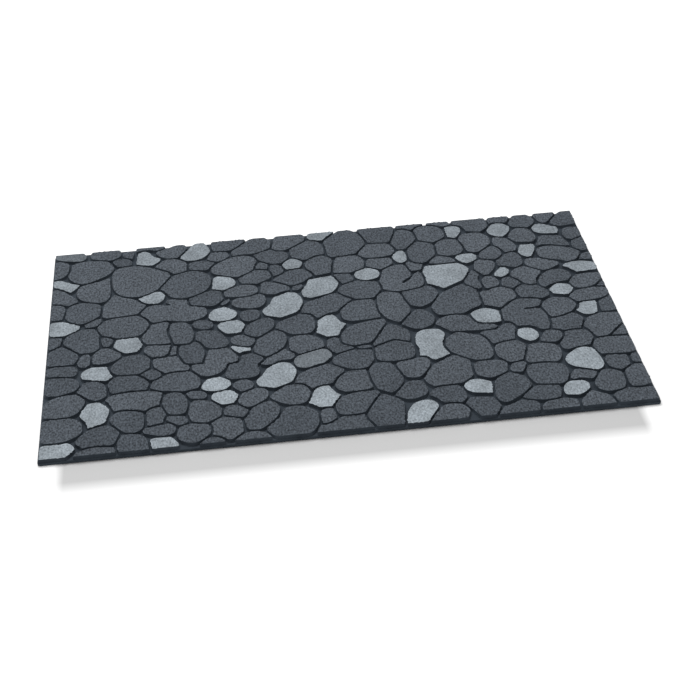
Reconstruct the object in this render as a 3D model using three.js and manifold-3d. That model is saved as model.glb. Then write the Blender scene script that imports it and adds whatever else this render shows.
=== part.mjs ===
// A rubber doormat, moulded in one piece: a flat base sheet with a pattern of river stones
// standing on it in low relief, and narrow grooves between the stones.
// Millimetres, +Z up. The origin is at the bottom centre of the mat, X runs along its long
// side and Y away from whoever stands at the door.

import * as THREE from 'three';
import { mergeVertices } from 'three/addons/utils/BufferGeometryUtils.js';
import Module from 'manifold-3d';

// Driving dimensions
const matLength = 750;
const matWidth = 450;
const baseThickness = 4;
const stoneHeight = 4.5;
const cornerRadius = 2.5;
// Between the top edges of two stones, and from a stone's foot in to its top edge
const grooveWidth = 3.2;
const wallDraft = 0.8;
// Bare base sheet outside the feet of the stones along the edges
const edgeLip = 0.8;
// How deep a stone is rooted in the sheet, so that the two are one body
const rootDepth = 1;

// How the drawn outlines are evened out
const settleRounds = 4;
const growthPerRound = 0.25;
const straightness = 0.5;
const mitreLimit = 1.6;
const cornerSegments = 4;
const tinyLength = 1e-4;

// The tops of the stones, drawn on a sheet of this size with its corner at the near left:
// x, y of each point in turn, anticlockwise or clockwise, rows from the far edge to the near
const sheetLength = 750;
const sheetWidth = 450;
const stoneTops = [
  // far edge, from the left corner to the right corner
  [0, 450, 41, 450, 44, 443, 46, 438, 44, 431, 38, 427, 30, 428, 15, 432, 0, 437],
  [53, 450, 92, 450, 95, 441, 94, 432, 87, 426, 80, 423, 70, 425, 60, 428, 52, 431, 51, 441],
  [97, 440, 104, 442, 110, 442, 113, 437, 112, 430, 110, 422, 104, 424, 97, 428],
  [115, 450, 156, 450, 158, 442, 150, 441, 143, 439, 137, 441, 128, 442, 120, 441, 116, 438],
  [161, 441, 169, 447, 179, 450, 185, 446, 187, 438, 184, 430, 178, 422, 173, 415, 158, 415, 149, 421,
    143, 430, 146, 436, 155, 439],
  [178, 412, 181, 421, 186, 428, 190, 435, 194, 442, 200, 449, 212, 449, 216, 440, 219, 432, 219, 424,
    215, 414, 208, 407, 197, 404, 186, 405, 180, 409],
  [222, 450, 271, 450, 271, 444, 265, 434, 257, 427, 250, 421, 243, 421, 225, 424, 222, 431],
  [250, 419, 258, 427, 267, 435, 275, 444, 282, 449, 291, 450, 299, 448, 304, 442, 308, 439, 308, 430,
    305, 419, 297, 413, 288, 410, 279, 407, 265, 408, 251, 406, 249, 412],
  [312, 444, 315, 449, 322, 450, 350, 450, 354, 446, 357, 441, 354, 431, 347, 424, 338, 417, 330, 411,
    324, 409, 312, 411, 307, 417, 309, 427, 311, 437],
  [360, 437, 361, 446, 366, 450, 399, 450, 398, 446, 390, 439, 380, 427, 362, 431],
  [400, 442, 405, 448, 412, 450, 420, 450, 426, 445, 433, 438, 438, 427, 440, 416, 439, 407, 434, 400,
    428, 393, 423, 385, 414, 383, 402, 382, 389, 380, 384, 385, 383, 396, 384, 406, 382, 416, 383, 423,
    391, 432],
  [435, 450, 484, 450, 487, 442, 484, 431, 479, 418, 475, 408, 471, 405, 459, 407, 445, 410, 441, 419,
    438, 429, 434, 438, 433, 445],
  [491, 450, 529, 450, 529, 445, 521, 442, 514, 438, 510, 433, 505, 437, 498, 439, 490, 440, 490, 445],
  [535, 450, 566, 450, 568, 443, 568, 438, 558, 436, 551, 437, 545, 442, 534, 444],
  [573, 450, 619, 450, 621, 444, 622, 437, 621, 428, 618, 421, 612, 416, 608, 413, 599, 415, 588, 417,
    586, 424, 584, 431, 578, 436, 571, 438, 571, 445],
  [628, 450, 654, 450, 656, 444, 654, 437, 649, 431, 643, 433, 636, 435, 629, 434, 624, 431, 623, 439,
    624, 445],
  [664, 450, 681, 450, 686, 444, 690, 438, 690, 429, 687, 423, 681, 417, 676, 413, 668, 415, 657, 418,
    652, 425, 652, 431, 657, 438, 660, 444],
  [694, 450, 723, 450, 723, 444, 718, 436, 712, 429, 706, 422, 700, 421, 696, 427, 693, 436, 692, 444],
  [733, 450, 750, 450, 750, 412, 736, 411, 723, 410, 717, 413, 711, 419, 714, 425, 721, 434, 727, 441,
    730, 446],
  // second band from the far edge
  [0, 431, 10, 430, 21, 424, 23, 414, 22, 402, 18, 393, 11, 387, 0, 384],
  [26, 418, 36, 423, 48, 426, 62, 424, 75, 420, 82, 412, 85, 401, 83, 393, 76, 385, 64, 377, 52, 371,
    42, 369, 32, 373, 24, 382, 21, 392, 24, 402],
  [83, 418, 89, 424, 98, 426, 107, 421, 110, 414, 110, 405, 101, 405, 90, 404, 86, 410],
  [119, 434, 128, 438, 135, 433, 139, 424, 150, 416, 148, 409, 138, 400, 126, 402, 116, 407, 116, 416],
  [142, 395, 151, 407, 157, 412, 171, 411, 178, 406, 185, 400, 187, 390, 185, 380, 178, 375, 168, 374,
    163, 379, 154, 385],
  [189, 397, 197, 399, 210, 400, 220, 397, 225, 393, 224, 389, 219, 384, 216, 377, 211, 376, 203, 379,
    190, 381],
  [221, 420, 243, 419, 246, 412, 246, 407, 242, 402, 234, 397, 228, 396, 214, 402, 217, 409, 219, 415],
  [220, 382, 227, 388, 237, 394, 247, 401, 255, 404, 264, 406, 274, 402, 281, 396, 283, 387, 280, 377,
    277, 367, 270, 360, 261, 355, 254, 352, 246, 355, 234, 360, 223, 364, 219, 370, 218, 377],
  [280, 404, 288, 408, 296, 412, 304, 414, 311, 409, 323, 407, 328, 402, 328, 390, 323, 384, 317, 378,
    312, 376, 303, 377, 298, 383, 290, 386, 285, 390, 284, 397],
  [331, 410, 340, 417, 350, 425, 359, 429, 369, 427, 375, 422, 379, 414, 381, 402, 379, 391, 371, 390,
    361, 386, 353, 380, 348, 381, 341, 386, 334, 389, 331, 396],
  [426, 381, 429, 388, 436, 397, 443, 405, 450, 407, 462, 405, 472, 403, 476, 396, 479, 388, 479, 380,
    473, 373, 462, 370, 449, 369, 436, 371, 429, 375],
  [487, 432, 491, 437, 499, 438, 505, 434, 510, 427, 513, 418, 513, 410, 508, 400, 501, 392, 495, 386,
    489, 384, 483, 386, 480, 393, 477, 402, 478, 412, 482, 423],
  [513, 431, 517, 438, 522, 442, 540, 442, 548, 437, 553, 430, 555, 420, 554, 409, 546, 401, 535, 396,
    524, 400, 517, 405, 516, 415, 513, 423],
  [559, 432, 566, 433, 575, 433, 580, 427, 580, 418, 575, 409, 569, 402, 559, 406, 559, 419],
  [572, 396, 575, 403, 580, 409, 587, 411, 597, 411, 607, 409, 612, 403, 617, 396, 618, 388, 616, 380,
    610, 372, 602, 366, 596, 361, 588, 361, 580, 364, 578, 373, 577, 384],
  [617, 413, 621, 421, 628, 428, 636, 430, 643, 428, 652, 419, 649, 410, 643, 401, 637, 394, 627, 397,
    619, 404],
  [644, 390, 648, 400, 654, 408, 661, 413, 669, 413, 676, 408, 680, 400, 683, 391, 682, 382, 676, 374,
    665, 375, 654, 377, 648, 383],
  [682, 410, 689, 419, 701, 419, 709, 412, 718, 408, 719, 399, 716, 391, 703, 392, 692, 394, 684, 400],
  [726, 401, 732, 404, 741, 404, 750, 401, 750, 386, 746, 380, 740, 375, 732, 371, 726, 375, 723, 383,
    723, 394],
  // third band
  [1, 379, 6, 381, 13, 381, 19, 377, 24, 373, 31, 369, 38, 366, 34, 358, 26, 350, 19, 356, 12, 361, 1, 366],
  [0, 360, 9, 359, 14, 357, 20, 350, 27, 341, 35, 331, 37, 325, 30, 321, 25, 317, 19, 321, 10, 325, 0, 326],
  [79, 379, 71, 374, 61, 369, 50, 366, 41, 362, 36, 355, 34, 346, 37, 336, 43, 327, 53, 321, 64, 318,
    74, 321, 80, 329, 81, 340, 80, 356, 79, 370],
  [84, 388, 88, 396, 96, 401, 107, 404, 119, 401, 135, 395, 150, 385, 161, 378, 164, 370, 160, 361,
    152, 350, 144, 339, 132, 329, 119, 325, 106, 326, 95, 331, 88, 340, 84, 352, 82, 365, 82, 378],
  [149, 338, 153, 349, 160, 360, 166, 369, 172, 372, 182, 373, 191, 377, 200, 375, 209, 371, 215, 365,
    218, 356, 218, 345, 215, 335, 209, 326, 200, 318, 190, 313, 180, 310, 166, 313, 160, 320, 156, 330],
  [222, 353, 227, 357, 235, 355, 245, 351, 250, 346, 252, 338, 250, 331, 243, 325, 234, 323, 219, 328,
    220, 338, 222, 346],
  [256, 347, 262, 352, 271, 357, 279, 364, 289, 364, 297, 361, 301, 353, 301, 344, 297, 339, 290, 334,
    281, 331, 271, 332, 260, 334, 257, 340],
  [283, 379, 288, 384, 294, 382, 298, 376, 299, 370, 297, 364, 289, 366, 281, 368, 281, 374],
  [302, 374, 308, 376, 313, 373, 316, 366, 319, 359, 318, 353, 312, 348, 304, 345, 303, 353, 300, 362,
    300, 368],
  [319, 371, 322, 378, 327, 382, 333, 385, 339, 383, 347, 375, 345, 368, 342, 361, 331, 361, 324, 358,
    320, 363],
  [302, 334, 307, 341, 314, 346, 321, 351, 325, 356, 335, 358, 346, 357, 353, 351, 358, 344, 358, 337,
    351, 331, 345, 327, 341, 322, 331, 319, 325, 320, 317, 326, 308, 332],
  [350, 373, 356, 378, 365, 385, 375, 389, 382, 384, 387, 378, 389, 372, 387, 361, 385, 348, 383, 342,
    373, 339, 362, 338, 359, 347, 352, 356, 350, 365],
  [393, 372, 395, 378, 405, 380, 415, 380, 424, 379, 430, 372, 433, 364, 432, 355, 431, 346, 421, 342,
    411, 338, 399, 338, 388, 341, 387, 347, 389, 360],
  [436, 364, 440, 367, 450, 366, 461, 367, 469, 366, 471, 360, 473, 351, 466, 345, 458, 340, 453, 339,
    448, 342, 441, 347, 434, 349, 434, 357],
  [480, 379, 485, 383, 490, 380, 493, 371, 494, 362, 491, 355, 484, 350, 479, 352, 475, 360, 473, 367],
  [497, 381, 500, 389, 506, 395, 513, 400, 520, 400, 528, 396, 534, 391, 535, 380, 534, 368, 532, 361,
    526, 355, 520, 349, 513, 346, 505, 347, 499, 351, 497, 360, 496, 370],
  [538, 389, 543, 395, 551, 399, 562, 399, 569, 397, 573, 390, 576, 380, 574, 369, 569, 361, 561, 358,
    551, 358, 541, 361, 538, 363, 539, 375],
  [521, 342, 524, 349, 529, 355, 536, 359, 546, 356, 554, 352, 558, 346, 559, 341, 548, 341, 535, 340],
  [560, 350, 563, 355, 570, 358, 585, 358, 590, 351, 588, 343, 577, 335, 573, 334, 565, 340],
  [593, 349, 597, 358, 604, 366, 612, 372, 619, 371, 624, 366, 626, 357, 625, 349, 621, 342, 614, 338,
    604, 340, 594, 343],
  [619, 388, 623, 394, 632, 393, 640, 389, 645, 382, 649, 374, 650, 365, 648, 356, 639, 355, 632, 354,
    628, 360, 626, 368, 620, 374, 618, 381],
  [656, 369, 665, 368, 675, 367, 674, 356, 669, 345, 666, 338, 660, 337, 652, 342, 650, 350, 653, 361],
  [680, 366, 684, 375, 687, 385, 693, 388, 704, 386, 716, 385, 720, 379, 722, 370, 726, 362, 725, 356,
    715, 358, 703, 363, 690, 365, 680, 363],
  [728, 362, 731, 368, 738, 371, 744, 375, 750, 377, 750, 345, 744, 341, 738, 341, 734, 346, 728, 351],
  // fourth band
  [328, 315, 334, 316, 341, 321, 343, 315, 339, 309, 334, 306, 328, 307],
  [349, 331, 383, 333, 388, 323, 391, 315, 388, 304, 380, 293, 368, 289, 350, 284, 341, 290, 339, 302,
    346, 313],
  [387, 336, 397, 337, 409, 335, 412, 328, 413, 320, 410, 316, 401, 312, 397, 312, 393, 320, 389, 329],
  [415, 330, 418, 338, 425, 342, 434, 344, 443, 341, 448, 336, 450, 329, 447, 321, 442, 317, 431, 315,
    422, 317, 417, 323],
  [490, 348, 494, 351, 499, 348, 505, 344, 512, 341, 511, 335, 507, 329, 499, 328, 494, 326, 492, 333,
    490, 340],
  [514, 336, 560, 336, 569, 329, 573, 320, 568, 308, 560, 295, 548, 287, 531, 278, 524, 284, 518, 290,
    511, 293, 512, 305, 510, 322],
  [583, 330, 585, 336, 592, 340, 602, 338, 610, 333, 611, 323, 608, 315, 602, 307, 597, 302, 590, 302,
    584, 309, 580, 317],
  [605, 297, 606, 303, 611, 309, 617, 316, 624, 314, 627, 306, 622, 297, 614, 292],
  [613, 328, 615, 334, 622, 340, 628, 346, 634, 350, 642, 351, 647, 348, 650, 339, 651, 329, 649, 321,
    643, 315, 637, 314, 631, 316, 623, 320, 615, 322],
  [653, 328, 657, 332, 667, 332, 674, 331, 682, 326, 694, 321, 700, 317, 698, 311, 690, 306, 682, 301,
    674, 301, 667, 306, 657, 312, 653, 319],
  [676, 340, 676, 348, 679, 356, 687, 359, 699, 359, 712, 355, 723, 350, 731, 345, 735, 338, 732, 330,
    727, 323, 720, 319, 711, 317, 705, 321, 693, 325, 682, 330, 677, 334],
  [736, 333, 742, 335, 750, 336, 750, 316, 742, 317, 730, 320, 733, 327],
  [702, 306, 706, 311, 718, 315, 732, 314, 750, 309, 750, 290, 728, 290, 718, 288, 711, 299],
  [0, 322, 11, 321, 18, 317, 22, 310, 20, 297, 17, 287, 9, 286, 0, 287],
  [25, 312, 31, 319, 43, 321, 54, 319, 64, 316, 68, 310, 69, 298, 66, 288, 60, 281, 51, 275, 42, 272,
    34, 275, 26, 281, 21, 289, 22, 301],
  [73, 313, 80, 321, 84, 331, 87, 334, 94, 327, 106, 322, 115, 316, 120, 309, 129, 303, 127, 298,
    121, 290, 118, 283, 109, 282, 98, 283, 87, 281, 76, 280, 71, 284, 70, 292, 72, 302],
  [119, 319, 130, 324, 142, 332, 149, 331, 154, 322, 152, 311, 145, 305, 131, 306, 124, 312],
  [120, 283, 124, 290, 131, 297, 139, 300, 150, 300, 160, 296, 162, 299, 155, 304, 158, 312, 166, 312,
    176, 309, 184, 307, 185, 292, 196, 288, 208, 286, 210, 278, 209, 269, 204, 262, 196, 259, 184, 257,
    170, 259, 156, 263, 149, 260, 137, 259, 133, 264, 131, 272, 123, 278],
  [187, 291, 186, 300, 187, 309, 200, 314, 209, 321, 219, 323, 226, 321, 231, 318, 232, 310, 234, 302,
    227, 292, 220, 287, 213, 287, 203, 290],
  [228, 289, 233, 295, 241, 301, 242, 296, 238, 290, 231, 286],
  [233, 311, 235, 318, 242, 323, 250, 329, 259, 330, 271, 330, 279, 325, 282, 317, 281, 310, 274, 305,
    264, 302, 246, 303, 236, 304],
  [284, 331, 292, 335, 301, 331, 311, 326, 320, 320, 324, 315, 323, 308, 313, 306, 304, 301, 293, 303,
    284, 308, 284, 318],
  [243, 285, 245, 296, 252, 300, 262, 300, 268, 299, 273, 302, 281, 304, 288, 301, 290, 295, 290, 288,
    287, 280, 281, 274, 270, 273, 258, 275, 250, 278],
  [296, 281, 297, 287, 301, 294, 310, 297, 320, 302, 331, 300, 335, 293, 339, 283, 338, 274, 333, 263,
    329, 255, 319, 250, 306, 245, 299, 248, 287, 253, 284, 262, 285, 268, 292, 275],
  // middle bands, left half
  [0, 281, 18, 281, 24, 278, 32, 273, 41, 268, 41, 261, 32, 255, 22, 249, 0, 249],
  [48, 269, 56, 273, 63, 279, 69, 280, 70, 274, 67, 268, 62, 263, 55, 262, 49, 262],
  [64, 260, 69, 267, 75, 273, 85, 278, 100, 279, 116, 279, 125, 274, 131, 267, 132, 257, 130, 247,
    125, 239, 117, 233, 104, 232, 91, 233, 81, 237, 72, 242, 66, 250],
  [134, 252, 136, 257, 149, 258, 155, 260, 159, 256, 156, 246, 156, 236, 157, 227, 160, 218, 160, 211,
    152, 209, 141, 210, 129, 213, 125, 218, 123, 227, 126, 234, 131, 242],
  [159, 249, 163, 254, 171, 255, 180, 254, 185, 248, 189, 239, 191, 228, 191, 217, 188, 209, 184, 205,
    174, 206, 165, 207, 163, 214, 160, 223, 158, 235],
  [188, 247, 192, 253, 200, 255, 209, 253, 215, 248, 217, 242, 215, 236, 209, 234, 200, 236, 192, 240],
  [211, 260, 214, 269, 219, 278, 227, 279, 233, 282, 239, 277, 248, 270, 250, 263, 246, 255, 238, 250,
    225, 250, 215, 253],
  [222, 239, 227, 245, 239, 247, 249, 249, 254, 243, 258, 236, 255, 229, 252, 221, 242, 219, 233, 220,
    228, 227, 223, 234],
  [253, 262, 256, 267, 265, 269, 275, 268, 279, 263, 280, 256, 276, 249, 270, 244, 263, 243, 257, 247,
    253, 254],
  [0, 245, 10, 245, 19, 243, 20, 234, 17, 227, 10, 223, 4, 219, 0, 216],
  [21, 240, 26, 248, 35, 253, 44, 258, 53, 260, 62, 258, 64, 251, 68, 242, 67, 232, 69, 221, 67, 214,
    62, 207, 57, 204, 51, 206, 44, 205, 40, 210, 34, 216, 27, 223, 21, 230],
  [70, 237, 76, 237, 82, 233, 86, 229, 84, 221, 80, 215, 73, 215, 70, 222, 69, 230],
  [90, 228, 118, 229, 120, 219, 124, 213, 121, 205, 117, 198, 102, 197, 94, 203, 86, 213, 88, 221],
  [61, 199, 66, 209, 73, 213, 80, 211, 87, 204, 96, 197, 97, 191, 89, 184, 81, 180, 70, 178, 60, 180,
    60, 190],
  [46, 199, 50, 203, 56, 203, 58, 196, 57, 187, 57, 179, 50, 174, 44, 176, 41, 184, 42, 192],
  [0, 212, 7, 217, 19, 224, 26, 219, 34, 212, 41, 205, 43, 198, 40, 189, 36, 182, 20, 184, 9, 183, 0, 183],
  [0, 180, 18, 181, 36, 180, 41, 176, 42, 168, 40, 161, 35, 158, 20, 161, 0, 161],
  [83, 166, 86, 175, 92, 183, 100, 189, 110, 192, 120, 192, 128, 187, 133, 179, 134, 170, 132, 161,
    127, 155, 119, 151, 104, 150, 93, 153, 85, 158],
  [125, 196, 127, 205, 130, 210, 141, 208, 154, 206, 160, 206, 158, 198, 157, 189, 150, 184, 136, 184,
    131, 190],
  [161, 200, 165, 204, 168, 202, 168, 194, 167, 185, 159, 183, 160, 192],
  [170, 198, 173, 203, 184, 203, 190, 209, 196, 206, 200, 200, 203, 190, 203, 180, 201, 169, 199, 162,
    187, 162, 179, 164, 175, 172, 171, 184, 169, 192],
  [194, 228, 198, 231, 209, 231, 220, 229, 225, 223, 230, 214, 234, 206, 235, 198, 231, 192, 221, 190,
    211, 191, 204, 196, 201, 204, 197, 210, 193, 213, 193, 221],
  [237, 205, 240, 211, 247, 214, 254, 213, 261, 209, 269, 203, 270, 196, 268, 191, 262, 187, 253, 189,
    245, 193, 239, 198],
  [236, 189, 240, 191, 246, 188, 253, 185, 263, 184, 261, 178, 254, 178, 248, 174, 241, 180],
  [257, 222, 259, 231, 265, 238, 274, 243, 283, 247, 291, 246, 297, 241, 297, 232, 294, 224, 288, 218,
    281, 212, 274, 207, 267, 207, 260, 212, 257, 217],
  [270, 193, 271, 201, 279, 206, 288, 212, 295, 217, 302, 215, 309, 208, 310, 198, 308, 188, 304, 179,
    297, 172, 288, 164, 281, 162, 274, 167, 267, 173, 265, 181, 268, 188],
  [297, 228, 303, 235, 312, 239, 321, 244, 331, 248, 340, 248, 348, 244, 350, 236, 350, 224, 348, 214,
    343, 205, 337, 203, 328, 204, 318, 205, 311, 210, 304, 218, 298, 222],
  [312, 180, 312, 190, 315, 197, 324, 200, 339, 200, 348, 195, 354, 189, 357, 181, 358, 171, 352, 169,
    340, 166, 330, 162, 322, 160, 320, 165, 312, 170],
  // middle bands, right half
  [390, 301, 397, 307, 409, 313, 417, 315, 431, 311, 442, 311, 447, 303, 446, 289, 440, 279, 434, 273,
    424, 271, 411, 273, 401, 279, 390, 288, 388, 295],
  [456, 335, 461, 341, 469, 345, 478, 346, 485, 345, 489, 338, 491, 330, 493, 321, 491, 314, 483, 308,
    477, 301, 479, 299, 486, 304, 492, 311, 497, 320, 504, 325, 507, 315, 508, 304, 507, 297, 504, 291,
    498, 286, 486, 283, 470, 282, 455, 285, 450, 290, 450, 300, 448, 309, 453, 323],
  [473, 279, 487, 281, 499, 283, 507, 287, 514, 286, 520, 279, 521, 269, 517, 259, 509, 249, 501, 243,
    494, 240, 487, 242, 481, 247, 477, 256, 474, 266],
  [439, 273, 444, 280, 452, 282, 464, 280, 470, 277, 473, 265, 476, 253, 479, 241, 478, 233, 473, 223,
    466, 215, 460, 210, 454, 213, 445, 222, 439, 232, 436, 241, 437, 255],
  [387, 247, 390, 254, 396, 261, 405, 267, 417, 269, 430, 267, 434, 263, 434, 251, 435, 240, 438, 230,
    437, 225, 427, 224, 411, 222, 397, 222, 388, 228, 386, 238],
  [335, 252, 337, 261, 340, 271, 346, 277, 359, 280, 370, 286, 380, 290, 386, 289, 392, 284, 401, 277,
    404, 272, 397, 265, 389, 258, 385, 251, 381, 247, 374, 246, 365, 243, 357, 236, 353, 237, 351, 243,
    346, 249],
  [355, 229, 360, 236, 366, 240, 376, 240, 380, 233, 382, 225, 391, 217, 384, 208, 378, 193, 362, 192,
    356, 199, 349, 203, 353, 212],
  [381, 190, 384, 199, 391, 208, 401, 214, 414, 217, 428, 219, 441, 220, 443, 215, 441, 208, 434, 198,
    430, 188, 424, 178, 416, 172, 406, 169, 396, 169, 386, 171, 380, 177],
  [360, 180, 363, 186, 371, 189, 377, 187, 378, 177, 382, 170, 391, 166, 395, 162, 386, 160, 378, 158,
    371, 155, 366, 161, 361, 169],
  [437, 199, 442, 206, 449, 207, 455, 202, 462, 197, 468, 191, 470, 184, 469, 172, 467, 165, 458, 170,
    448, 174, 437, 170, 429, 166, 420, 162, 418, 167, 424, 176, 430, 186],
  [397, 164, 406, 166, 417, 167, 418, 160, 410, 159, 400, 160],
  [462, 204, 467, 212, 474, 221, 480, 229, 485, 235, 494, 234, 500, 229, 505, 221, 508, 214, 507, 206,
    502, 199, 496, 194, 487, 191, 477, 192, 470, 197],
  [507, 237, 512, 245, 519, 255, 522, 264, 528, 269, 538, 274, 549, 280, 557, 285, 562, 279, 569, 273,
    574, 268, 575, 255, 575, 243, 577, 234, 570, 229, 562, 226, 553, 220, 546, 217, 534, 218, 522, 217,
    513, 218, 509, 226],
  [576, 316, 581, 314, 585, 308, 584, 303, 581, 296, 582, 287, 583, 280, 583, 272, 578, 270, 569, 276,
    563, 283, 562, 290, 567, 297, 571, 305],
  [585, 289, 588, 294, 593, 297, 599, 297, 605, 291, 609, 283, 607, 276, 604, 272, 598, 271, 590, 269,
    586, 271, 586, 280],
  [611, 283, 614, 288, 618, 291, 623, 291, 628, 287, 634, 280, 636, 273, 630, 269, 625, 264, 621, 264,
    617, 269, 610, 272, 610, 277],
  [627, 293, 628, 301, 635, 309, 641, 313, 648, 314, 654, 310, 662, 305, 671, 300, 668, 293, 662, 286,
    659, 279, 658, 269, 649, 269, 642, 273, 639, 280, 633, 287],
  [660, 270, 660, 277, 664, 284, 671, 291, 678, 296, 687, 299, 698, 299, 704, 295, 708, 288, 709, 281,
    706, 275, 701, 271, 693, 270, 681, 268, 673, 264, 667, 259, 662, 263],
  [702, 266, 705, 273, 710, 279, 715, 282, 722, 283, 735, 284, 747, 283, 750, 280, 750, 271, 742, 262,
    734, 254, 725, 251, 714, 250, 707, 252, 705, 259],
  [671, 253, 677, 260, 685, 264, 695, 263, 700, 259, 703, 250, 700, 243, 694, 237, 684, 239, 674, 242],
  [736, 252, 742, 259, 750, 265, 750, 248, 741, 250],
  [693, 232, 699, 239, 706, 244, 716, 246, 731, 248, 742, 248, 750, 246, 750, 237, 746, 231, 740, 225,
    734, 222, 724, 221, 712, 221, 701, 220, 697, 225],
  [576, 260, 581, 264, 588, 262, 594, 267, 601, 269, 609, 269, 616, 265, 621, 260, 624, 253, 625, 246,
    622, 240, 614, 237, 609, 231, 604, 225, 599, 221, 593, 223, 585, 228, 578, 231, 578, 241, 576, 250],
  [624, 258, 627, 263, 632, 268, 640, 269, 649, 266, 656, 265, 662, 259, 667, 253, 669, 247, 668, 240,
    662, 236, 656, 235, 649, 238, 639, 239, 629, 240, 627, 247, 626, 253],
  [555, 213, 560, 218, 569, 222, 578, 223, 587, 219, 593, 214, 593, 203, 592, 191, 585, 189, 570, 191,
    562, 194, 556, 203],
  [598, 216, 605, 223, 612, 230, 618, 235, 627, 237, 640, 235, 652, 234, 654, 229, 653, 222, 649, 218,
    641, 215.5, 628, 215.5, 628, 212.5, 637, 212, 648, 211, 653, 204, 655, 195, 655, 184, 654, 174,
    650, 165, 643, 164, 637, 167, 632, 173, 623, 176, 611, 177, 608, 184, 603, 189, 597, 191, 596, 203],
  [507, 203, 513, 209, 524, 213, 536, 214, 549, 211, 554, 207, 555, 198, 560, 190, 570, 187, 580, 185,
    587, 181, 581, 175, 562, 176, 549, 176, 536, 179, 524, 178, 519, 184, 513, 191, 506, 197],
  [606, 163, 610, 169, 618, 171, 627, 169, 632, 163, 634, 156, 632, 149, 627, 143, 620, 141, 613, 146,
    606, 155],
  [695, 199, 701, 206, 703, 214, 714, 216, 725, 217, 724, 205, 721, 192, 712, 188, 703, 189],
  [652, 216, 657, 225, 662, 230, 671, 234, 682, 232, 691, 229, 696, 223, 698, 214, 695, 207, 688, 199,
    679, 194, 669, 190, 659, 190, 656, 197, 654, 206],
  [657, 187, 669, 187, 681, 192, 688, 195, 693, 192, 698, 186, 701, 180, 698, 173, 693, 166, 691, 160,
    681, 160, 668, 159, 662, 162, 654, 164, 656, 174],
  [728, 208, 730, 216, 735, 220, 742, 222, 750, 229, 750, 193, 740, 192, 727, 192],
  [478, 181, 486, 186, 497, 188, 508, 186, 514, 178, 514, 172, 510, 162, 508, 150, 513, 131, 503, 126,
    494, 121, 489, 124, 485, 131, 475, 133, 477, 145, 474, 160, 475, 170],
  // near bands, left half
  [137, 178, 156, 179, 167, 181, 171, 174, 174, 165, 176, 160, 183, 160, 183, 150, 181, 149, 164, 150,
    152, 147, 149, 149, 143, 155, 138, 160, 136, 170],
  [207, 180, 209, 187, 216, 187, 226, 187, 233, 189, 237, 183, 241, 175, 245, 167, 246, 158, 238, 155,
    231, 156, 229, 150, 227, 145, 223, 139, 216, 134, 206, 132, 198, 135, 191, 141, 186, 149, 185, 159,
    198, 158, 201, 157, 203, 166, 205, 173],
  [250, 168, 255, 171, 264, 171, 270, 167, 277, 161, 279, 155, 272, 151, 268, 147, 269, 142, 271, 136,
    270, 128, 266, 123, 259, 121, 244, 121, 234, 122, 228, 126, 227, 132, 230, 140, 232, 148, 233, 153,
    240, 153, 246, 154, 249, 160],
  [282, 158, 290, 163, 299, 169, 306, 174, 311, 167, 318, 163, 318, 156, 313, 152, 297, 151, 292, 149,
    287, 145, 280, 144, 274, 146, 272, 149, 279, 152],
  [316, 150, 322, 157, 332, 161, 344, 165, 353, 168, 359, 165, 363, 160, 365, 153, 364, 148, 358, 143,
    353, 138, 343, 135, 334, 131, 327, 130, 319, 134, 316, 142],
  [46, 156, 46, 161, 50, 168, 59, 173, 79, 172, 80, 161, 86, 150, 78, 142, 63, 147, 48, 150],
  [0, 158, 12, 159, 26, 157, 36, 153, 43, 148, 46, 140, 44, 134, 39, 128, 29, 124, 17, 121, 0, 123],
  [42, 125, 47, 132, 49, 141, 61, 143, 69, 140, 75, 135, 79, 128, 80, 119, 79, 112, 74, 107, 66, 105,
    59, 107, 52, 113, 46, 120],
  [80, 134, 85, 142, 92, 148, 104, 149, 116, 148, 124, 142, 130, 136, 132, 129, 130, 122, 129, 116,
    114, 117, 100, 116, 86, 115, 82, 120, 82, 128],
  [121, 148, 127, 153, 132, 158, 137, 159, 143, 154, 148, 149, 148, 143, 144, 138, 138, 135, 133, 135,
    129, 139, 124, 144],
  [133, 126, 137, 131, 145, 137, 153, 143, 162, 146, 174, 147, 183, 145, 190, 139, 195, 130, 196, 119,
    192, 111, 184, 108, 172, 107, 162, 109, 149, 111, 139, 116, 133, 119],
  [0, 107, 6, 111, 16, 116, 28, 120, 41, 120, 47, 114, 53, 107, 52, 99, 49, 91, 44, 83, 35, 78, 19, 77,
    0, 78],
  [0, 73, 19, 73, 36, 73, 44, 70, 49, 63, 51, 56, 51, 47, 48, 40, 40, 35, 30, 31, 17, 30, 0, 31],
  [53, 91, 56, 98, 62, 100, 70, 100, 77, 93, 83, 84, 83, 78, 80, 68, 78, 59, 69, 56, 58, 52, 56, 61,
    51, 70, 47, 76, 50, 83],
  [77, 102, 82, 109, 89, 113, 100, 114, 114, 115, 129, 114, 139, 111, 148, 107, 147, 101, 145, 93,
    144, 84, 137, 82, 130, 79, 126, 75, 119, 78, 110, 81, 99, 82, 89, 80, 86, 86, 84, 93, 81, 98],
  [147, 91, 149, 99, 153, 104, 162, 106, 170, 103, 174, 99, 177, 91, 178, 82, 178, 72, 175, 64,
    169, 62, 157, 63, 153, 66, 151, 75, 148, 84],
  [128, 71, 131, 75, 138, 79, 147, 80, 149, 72, 151, 63, 149, 57, 148, 49, 141, 48, 129, 45, 128, 53,
    129, 62],
  [87, 72, 93, 76, 104, 78, 116, 75, 124, 71, 126, 63, 126, 53, 124, 44, 120, 37, 114, 35, 104, 36,
    99, 39, 94, 46, 89, 53, 84, 60, 84, 67],
  [150, 51, 152, 58, 156, 60, 165, 59, 174, 57, 178, 52, 180, 46, 175, 43, 169, 41, 165, 41, 161, 47,
    156, 50],
  [122, 37, 126, 41, 134, 43, 144, 43, 154, 46, 160, 43, 163, 38, 164, 33, 161, 28, 154, 25, 144, 25,
    133, 28, 125, 32],
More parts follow.
